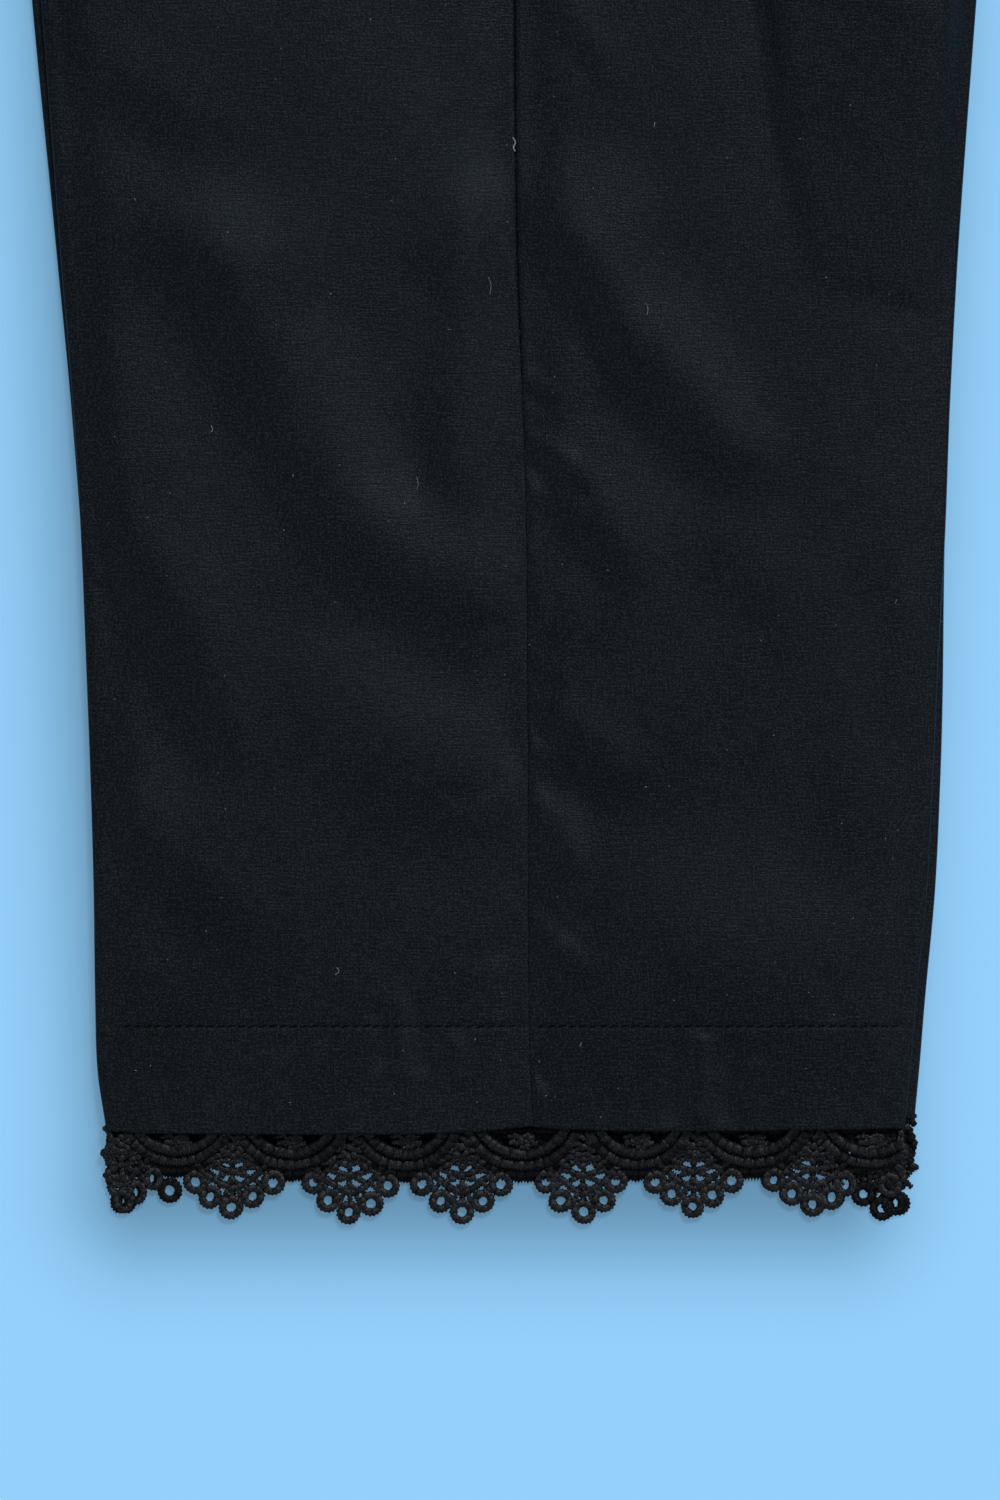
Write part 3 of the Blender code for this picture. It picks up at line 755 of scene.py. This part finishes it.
def along_path(points, spacing):
    """Points at even distances on a smooth curve through a few given ones."""
    dense = []
    last = len(points) - 1
    for i in range(last):
        before = points[max(i - 1, 0)]
        after = points[min(i + 2, last)]
        for t in (k / 12 for k in range(12)):
            place = []
            for a, b, c, d in zip(before, points[i], points[i + 1], after):
                bend = (2 * a - 5 * b + 4 * c - d) * t * t + (3 * b - a - 3 * c + d) * t ** 3
                place.append(0.5 * (2 * b + (c - a) * t + bend))
            dense.append(place)
    dense.append(list(points[-1]))
    dense = np.array(dense)
    reach = np.concatenate([[0], np.cumsum(np.linalg.norm(np.diff(dense, axis=0), axis=1))])
    count = max(2, round(reach[-1] / spacing) + 1)
    marks = np.linspace(0, reach[-1], count)
    return [tuple(np.interp(m, reach, dense[:, k]) for k in range(dense.shape[1])) for m in marks]


class Cords:
    """Threads and cords, laid one by one and then turned into one mesh."""

    def __init__(self, name, sides):
        self.name = name
        self.curve = bpy.data.curves.new(name, "CURVE")
        self.curve.dimensions = "3D"
        self.curve.twist_mode = "Z_UP"
        self.curve.bevel_depth = MM
        self.curve.bevel_resolution = (sides - 4) // 2
        self.curve.use_fill_caps = True

    def lay(self, points, thicknesses, closed=False):
        spline = self.curve.splines.new("POLY")
        spline.points.add(len(points) - 1)
        for spot, (x, y, z), thickness in zip(spline.points, points, thicknesses):
            spot.co = (x * MM, y * MM, z * MM, 1.0)
            spot.radius = thickness
        spline.use_cyclic_u = closed

    def as_mesh(self, level=0.0, flatness=1.0):
        piece = bpy.data.objects.new(self.name, self.curve)
        bpy.context.scene.collection.objects.link(piece)
        deselect()
        piece.select_set(True)
        bpy.context.view_layer.objects.active = piece
        piece.scale = (1, 1, flatness)
        piece.location = (0, 0, level * MM)
        bpy.ops.object.convert(target="MESH")
        piece = bpy.context.object
        bpy.ops.object.transform_apply(location=True, rotation=True, scale=True)
        bpy.ops.object.shade_smooth()
        return piece


class LaceFace:
    """One face of a lace trim, from crease to crease: cords wound with thread, laid out flat."""

    def __init__(self, node, fans, left, level, sides, top, droop, sag, shake, seed, inner):
        shift = LEFT_LEG_SHIFT[0][1] if left else 0.0
        self.cords = Cords(f"{node}_cords", sides)
        self.node = node
        self.fans = fans
        self.left = left
        self.level = level
        self.sag = sag
        self.back = OUTLINE[0][BACK] + shift
        self.front = OUTLINE[0][FRONT] + shift
        self.edge = LEFT_HEM_RAISE if left else 0.0
        self.top = top
        self.droop = droop / FLATNESS
        self.shake = shake
        self.slim = 1.0
        self.inner = inner
        self.draw = random.Random(seed)

    def end_of_face(self, crease, way, height):
        """Where the lace turns round the crease: it bulges and pulls in along it."""
        bulge = 0.55 * math.sin(height * 0.95 + 0.4) + 0.3 * math.sin(height * 2.3 + crease)
        return crease + way * (bulge - 0.1)

    def cord(self, points, thickness, lift=0.0, closed=False):
        """Lays a cord, whose thickness swells at each turn of the thread, and ends it at a crease."""
        runs = [[]]
        for i, (x, h) in enumerate(points):
            if i % 2 == 0:
                turn_size = self.draw.uniform(0.96, 1.18)
                rise = self.draw.uniform(-0.45, 0.45)
            swell = turn_size if i % 2 == 0 else (0.78 if closed else 0.58)
            h = min(h, self.top + 0.15 * math.sin(3 * x))
            if self.inside(x, h):
                drop = self.droop * ease(-h / DROOP_REACH)
                place = (x, h + self.edge - CENTRE_HEIGHT, lift + rise - drop)
                runs[-1].append((place, thickness * swell))
            elif runs[-1]:
                runs.append([])
        whole = len(runs) == 1 and len(runs[0]) == len(points)
        for run in runs:
            if whole:
                self.cords.lay([p for p, _ in run], [t for _, t in run], closed)
            elif len(run) > 5:
                rounding = [0.7, 0.9] + [1.0] * (len(run) - 4) + [0.9, 0.7]
                self.cords.lay([p for p, _ in run], [t * r for (_, t), r in zip(run, rounding)])

    def inside(self, x, h):
        return self.end_of_face(self.back, -1, h) < x < self.end_of_face(self.front, 1, h)

    def line(self, points, thickness, lift=0.0):
        """Lays a cord along a few points. A short bar is left out where it would cross a crease."""
        if len(points) > 2 or all(self.inside(x, h) for x, h in points):
            self.cord(along_path(points, WRAP / 2), thickness, lift)

    def turn_at_creases(self):
        """The bulges of the cords where the lace turns round a crease."""
        for crease, way in ((self.back, -1), (self.front, 1)):
            h = 1.2
            while h > -12.5:
                self.knot(self.end_of_face(crease, way, h) - way * 0.55, h, self.draw.uniform(1.2, 1.5))
                h -= self.draw.uniform(1.2, 1.7)

    def corner(self, start, end, low):
        """The close mass of knots where the lace doubles back."""
        h = -0.8
        while h > low:
            x = start
            while x < end:
                aside = self.draw.uniform(-0.4, 0.4)
                self.knot(x + aside, h + self.draw.uniform(-0.4, 0.4), CORNER_KNOT)
                x += CORNER_STEPS[0]
            h -= CORNER_STEPS[1]

    def ring(self, x, h, squeeze):
        """A ring of cord, a little uneven, kept between the creases."""
        radius = RING_PATH * self.draw.uniform(0.94, 1.05)
        reach = (radius + RING_CORD) * squeeze
        back = self.end_of_face(self.back, -1, h) + reach
        front = self.end_of_face(self.front, 1, h) - reach
        if x < back - reach or x > front + reach:
            return
        x = min(max(x, back + 0.3), front - 0.3)
        count = 2 * round(2 * math.pi * radius / WRAP)
        stretch = self.draw.uniform(0.94, 1.06)
        lean = self.draw.uniform(-0.1, 0.1)
        points = []
        for i in range(count):
            angle = 2 * math.pi * i / count
            aside = radius * squeeze * math.cos(angle)
            points.append((x + aside, h + radius * stretch * math.sin(angle) + lean * aside))
        self.cord(points, RING_CORD * self.slim * min(squeeze + 0.1, 1.0), 0.0, True)

    def knot(self, x, h, size):
        """A small ball of thread: a short fat cord."""
        angle = self.draw.uniform(0, math.pi)
        arm = 0.5 * size
        points = []
        for share, swell in ((-1, 0.7), (-0.55, 0.92), (0, 1.0), (0.55, 0.92), (1, 0.7)):
            place = (x + share * arm * math.cos(angle), h + share * arm * math.sin(angle))
            points.append((place, swell * size * self.draw.uniform(0.9, 1.1)))
        lift = self.draw.uniform(0.3, 0.7)
        if self.inside(x, h) and h < self.top:
            lift -= self.droop * ease(-h / DROOP_REACH)
            places = [(px, ph + self.edge - CENTRE_HEIGHT, lift) for (px, ph), _ in points]
            self.cords.lay(places, [thickness for _, thickness in points])

    def fan(self, middle, squeeze, raised):
        """A fan: its rings, its net of cords and knots, and the dense filling above it."""

        def near(point, mirror=1, shake=1.0):
            x = middle + mirror * point[0] * squeeze
            h = point[1] + raised * ease(-point[1] / FAN_DEPTH)
            shake = shake * self.shake
            return x + self.draw.uniform(-shake, shake), h + self.draw.uniform(-shake, shake)

        self.draw.seed(100 + round(middle / FAN_PITCH))
        self.slim = SLIM if self.shake < 0.1 and abs(middle) < 85 else 1.0
        own = [rings for place, rings in OWN_RINGS.items() if abs(place - middle) < 3]
        for x, h in own[0] if own else RING_MIDDLES:
            shake = 0.6 * self.shake
            aside = self.draw.uniform(-shake, shake)
            slack = -self.edge if own else raised * ease(-h / FAN_DEPTH)
            self.ring(middle + x * squeeze + aside, h + slack, squeeze)
        if not self.inner:
            arm = [near(p) for p in BRANCH]
            other_arm = [near(p, -1) for p in BRANCH[-2::-1]]
            self.line(arm + other_arm, BRANCH_CORD, 0.1)
            self.line([near(p) for p in ARCH], ARCH_CORD)
            self.line([near(p) for p in STALK], STALK_CORD)
            for mirror in (1, -1):
                for start, end in NET_BARS:
                    if mirror > 0 or start[0] or end[0]:
                        self.line([near(start, mirror), near(end, mirror)], NET_CORD * self.slim)
            for place in KNOTS:
                self.knot(*near(place), KNOT * self.slim)
        for place in FILLING:
            self.knot(*near(place, 1, 1.5), FILLING_KNOT)
        for before, after in zip(FILLING, FILLING[2:]):
            self.line([near(before), near(after)], NET_CORD)

    def scallop(self, left, right):
        """The two bands between two fans, with a cluster of knots under the hem."""
        middle = (left[0] + right[0]) / 2
        stretch = min(max((right[0] - left[0]) / FAN_PITCH, 0.8), 1.15)
        raised = (left[2] + right[2]) / 4
        for band, lift in ((OUTER_BAND, 0.0), (INNER_BAND, 0.25)):
            arm = [(x * stretch, h + (raised - self.sag) * ease(-h / 7)) for x, h in band]
            far = [(middle - x, h) for x, h in arm[-2::-1]]
            self.line([(middle + x, h) for x, h in arm] + far, BAND_CORD, lift)
        for x, h in CLUSTER:
            shake = self.draw.uniform(-0.3, 0.3)
            self.knot(middle + x + shake, h + shake, CLUSTER_KNOT)
        for before, after in zip(CLUSTER, CLUSTER[1:]):
            self.line([(middle + before[0], before[1]), (middle + after[0], after[1])], NET_CORD)

    def footing(self):
        """The close rows of cord that are sewn behind the hem."""
        thickness = LEFT_FOOTING_CORD if self.left else RIGHT_FOOTING_CORD
        for h in FOOTING_ROWS if self.left else FOOTING_ROWS[:1]:
            self.line([(self.back + 1.2, h), (self.front - 1.2, h)], thickness, -0.4)

    def make(self, thread):
        """All the fans, a scallop between each two, and what is sewn behind them."""
        for fan in self.fans:
            self.fan(*fan)
        for left, right in zip(self.fans, self.fans[1:]):
            self.scallop(left, right)
        self.turn_at_creases()
        if self.sag:
            self.footing()
        if self.inner and not self.left:
            for x, h in SINGLE_RINGS:
                self.ring(x, h, 1.0)
            for corner in CORNERS:
                self.corner(*corner)
        dress(self.cords.as_mesh(self.level, FLATNESS), thread, "lace", self.node)


def band_puff(share):
    """The casing swells from its lower edge, where it is sewn on."""
    return 0.25 + 0.75 * ease(share / 0.12)


def band_ruffle(across, height):
    """How far the waistband's upper face stands out in its ruffles, at a height over its lower edge."""
    rise = RUFFLE_RISE * gathers_at(across) * ease(height / 5 + 0.35)
    for line in BAND_STITCH_LINES:
        rise = rise * (1 - 0.7 * np.exp(-(((height - line) / 1.8) ** 2)))
    return rise


def band_turn(crease, start):
    """The points where the waistband turns round a crease."""
    turn = []
    for i in range(1, 12):
        angle = start - math.pi * i / 12
        aside, up = math.cos(angle), math.sin(angle)
        turn.append((crease + BAND_TURN * aside, BAND_MIDDLE + BAND_TURN * up, aside, up, 0.0))
    return turn


def waistband_sheet(name):
    """The elastic casing: doubled cloth in one flattened ring, drawn into ruffles.

    A point of the ring is its place across, its level, the way out of the ring and whether it has
    ruffles. A row of the sheet is its height, how far out it stands and how much it is ruffled.
    """
    back = smooth_value(OUTLINE, BACK, LEG_TOP) + BAND_HALF_WALL + BAND_TURN
    front = smooth_value(OUTLINE, FRONT, LEG_TOP) - BAND_HALF_WALL - BAND_TURN
    ring = [(x, BAND_MIDDLE + BAND_TURN, 0.0, 1.0, 1.0) for x in np.linspace(back, front, 300)]
    ring += band_turn(front, math.pi / 2)
    ring += [(x, BAND_MIDDLE - BAND_TURN, 0.0, -1.0, 0.0) for x in np.linspace(front, back, 60)]
    ring += band_turn(back, -math.pi / 2)
    ring.append(ring[0])
    ring = np.array(ring)
    full = BAND_HALF_WALL - CLOTH / 2
    straight = BAND_DEPTH - BAND_EDGE
    rows = []
    for share in np.linspace(0, 1, 30):
        rows.append((share * straight, full * band_puff(share), 1.0))
    for i in range(1, 8):
        angle = math.pi * i / 8
        rows.append((straight + math.sin(angle), full * math.cos(angle), 1.0 - i / 8))
    for share in np.linspace(1, 0, 8):
        rows.append((share * straight, -full * band_puff(share), 0.0))
    points = np.zeros((len(rows), len(ring), 3))
    places = np.zeros((len(rows), len(ring), 2))
    path = np.concatenate([[0], np.cumsum(np.hypot(np.diff(ring[:, 0]), np.diff(ring[:, 1])))])
    for i, (height, out, ruffled) in enumerate(rows):
        rise = band_ruffle(ring[:, 0], height) * ring[:, 4] * ruffled
        points[i, :, 0] = ring[:, 0] + ring[:, 2] * out
        points[i, :, 1] = LEG_TOP + height - CENTRE_HEIGHT
        points[i, :, 2] = ring[:, 1] + ring[:, 3] * out + rise
        places[i, :, 0] = path * BAND_FULLNESS
        places[i, :, 1] = LEG_TOP + height if out > 0 else -height
    return sheet_of_cloth(name, points, places, True, True)


def lay_stitches(cords, line, top_at, start, end, seed):
    """A row of machine stitches from start to end: short threads that dip at both ends."""
    draw = random.Random(seed)
    place = start
    while place + STITCH_LENGTH < end:
        xs = [place + STITCH_LENGTH * share for share in (0.06, 0.25, 0.5, 0.75, 0.94)]
        hs = [line + draw.uniform(-0.1, 0.1) + 0.12 * (share - 2) for share in range(5)]
        levels = top_at(xs, hs)
        dips = (-0.16, -0.02, 0.03, -0.02, -0.16)
        points = [(x, h - CENTRE_HEIGHT, z + dip) for x, h, z, dip in zip(xs, hs, levels, dips)]
        cords.lay(points, (0.15, 0.2, 0.22, 0.2, 0.15))
        place += STITCH_LENGTH * draw.uniform(0.97, 1.03)


def top_of_band(across, height):
    """The level of the waistband's upper face at places given in two lists."""
    rise = band_ruffle(np.array(across), np.array(height) - LEG_TOP)
    return rise + BAND_MIDDLE + BAND_TURN + BAND_HALF_WALL


def make_stitching(thread):
    """The sewing along the hem of the upper leg, and round the waistband."""
    hem = Cords("hem_stitches", 6)
    lay_stitches(hem, HEM_DEPTH, top_of_leg, OUTLINE[0][BACK] + 4, 4.2, 21)
    lay_stitches(hem, HEM_DEPTH, top_of_leg, 7.4, OUTLINE[0][FRONT] - 1, 22)
    dress(hem.as_mesh(), thread, "cloth")
    band = Cords("waistband_stitches", 6)
    for line, seed in zip(BAND_STITCH_LINES, (23, 24)):
        lay_stitches(band, LEG_TOP + line, top_of_band, -BAND_STITCH_REACH, BAND_STITCH_REACH, seed)
    dress(band.as_mesh(), thread, "cloth")


def make_lint(thread):
    """A thread end at the outseam, and fibres and specks of lint that lie on the upper face."""
    lint = Cords("loose_fibres", 6)
    specks = []
    for x, h in SPECKS:
        angle = 2.4 * x + h
        end = (x + SPECK_LENGTH * math.cos(angle), h + SPECK_LENGTH * math.sin(angle))
        specks.append(([(x, h), end], SPECK))
    for points, thickness in FIBRES + specks:
        path = along_path(points, 0.5)
        levels = top_of_leg([x for x, _ in path], [h for _, h in path])
        laid = [(x, h - CENTRE_HEIGHT, z + LINT_LIFT) for (x, h), z in zip(path, levels)]
        lint.lay(laid, [thickness] * len(laid))
    dress(lint.as_mesh(), thread, "cloth")


def camera_over_the_hem():
    """Straight above the hem of the right leg, framing 250 by 375 mm of it."""
    bpy.ops.object.camera_add()
    camera = bpy.context.object
    camera.data.lens = LENS
    camera.data.sensor_width = SENSOR
    distance = PICTURE_HEIGHT * LENS / SENSOR
    across, height = PICTURE_MIDDLE
    camera.location = (across * MM, (height - CENTRE_HEIGHT) * MM, (distance + LAYER[3]) * MM)
    camera.data.clip_start = 0.01
    camera.data.clip_end = 50.0
    bpy.context.scene.camera = camera


def floor_and_lights():
    deselect()
    bpy.ops.mesh.primitive_plane_add(size=30.0, location=(0, 0, -0.0002))
    floor = bpy.context.object
    floor.name = "floor"
    floor.data.materials.append(pale_blue_floor())
    for name, place, size, power in LIGHTS:
        bpy.ops.object.light_add(type="AREA", location=place)
        light = bpy.context.object
        light.name = name
        light.data.size = size
        light.data.energy = power
        aim = Vector(LIGHT_AIM) - Vector(place)
        light.rotation_euler = aim.to_track_quat("-Z", "Y").to_euler()
    world = bpy.data.worlds.new("soft_room")
    world.use_nodes = True
    background = world.node_tree.nodes["Background"]
    background.inputs["Color"].default_value = (0.95, 0.98, 1.0, 1.0)
    background.inputs["Strength"].default_value = 0.2
    bpy.context.scene.world = world
    bpy.context.scene.view_settings.view_transform = "Standard"


def make_legs(cotton):
    fine = leg_rows(True)
    plain = leg_rows(False)
    for name, side in (("front", 1), ("back", -1)):
        right = leg_sheet(f"right_{name}_cloth", side, True, 74, 8, 8, fine, 0.0)
        dress(right, cotton, "cloth", f"right_{name}")
        left = leg_sheet(f"left_{name}_cloth", side, False, 38, 6, 8, plain, LEFT_HEM_RAISE)
        dress(left, cotton, "cloth", "left_leg")


def make_waistband(cotton):
    band = waistband_sheet("waistband_cloth")
    dress(band, cotton, "cloth", "waistband")


def make_lace(thread, painted_shade_thread):
    for face in LACE_FACES:
        # Inner faces are drawn in the darker copy of the thread, as painted shade.
        LaceFace(*face).make(painted_shade_thread if face[-1] else thread)


def make_trousers():
    cotton = black_cotton()
    dark = (0.0004, 0.0004, 0.0006)
    lace_thread = wound_thread("black_lace_thread", dark, (0.0125, 0.0125, 0.0155), 0.42, 0.22)
    # A darker, duller copy of the same lace thread for the inner faces: painted shade for the layers over
    # them.
    painted_shade_lace_thread = wound_thread("painted_shade_lace_thread", dark, (0.006, 0.0062, 0.008), 0.5, 0.1)
    sewing_thread = wound_thread("black_sewing_thread", (0.0008, 0.001, 0.0012), (0.002, 0.0025, 0.003),
                                 0.6, 0.03)
    lint = wound_thread("grey_lint", (0.1, 0.11, 0.12), (0.24, 0.26, 0.28), 0.8, 0.2)
    make_legs(cotton)
    make_waistband(cotton)
    make_lace(lace_thread, painted_shade_lace_thread)
    make_stitching(sewing_thread)
    make_lint(lint)


make_trousers()
floor_and_lights()
camera_over_the_hem()
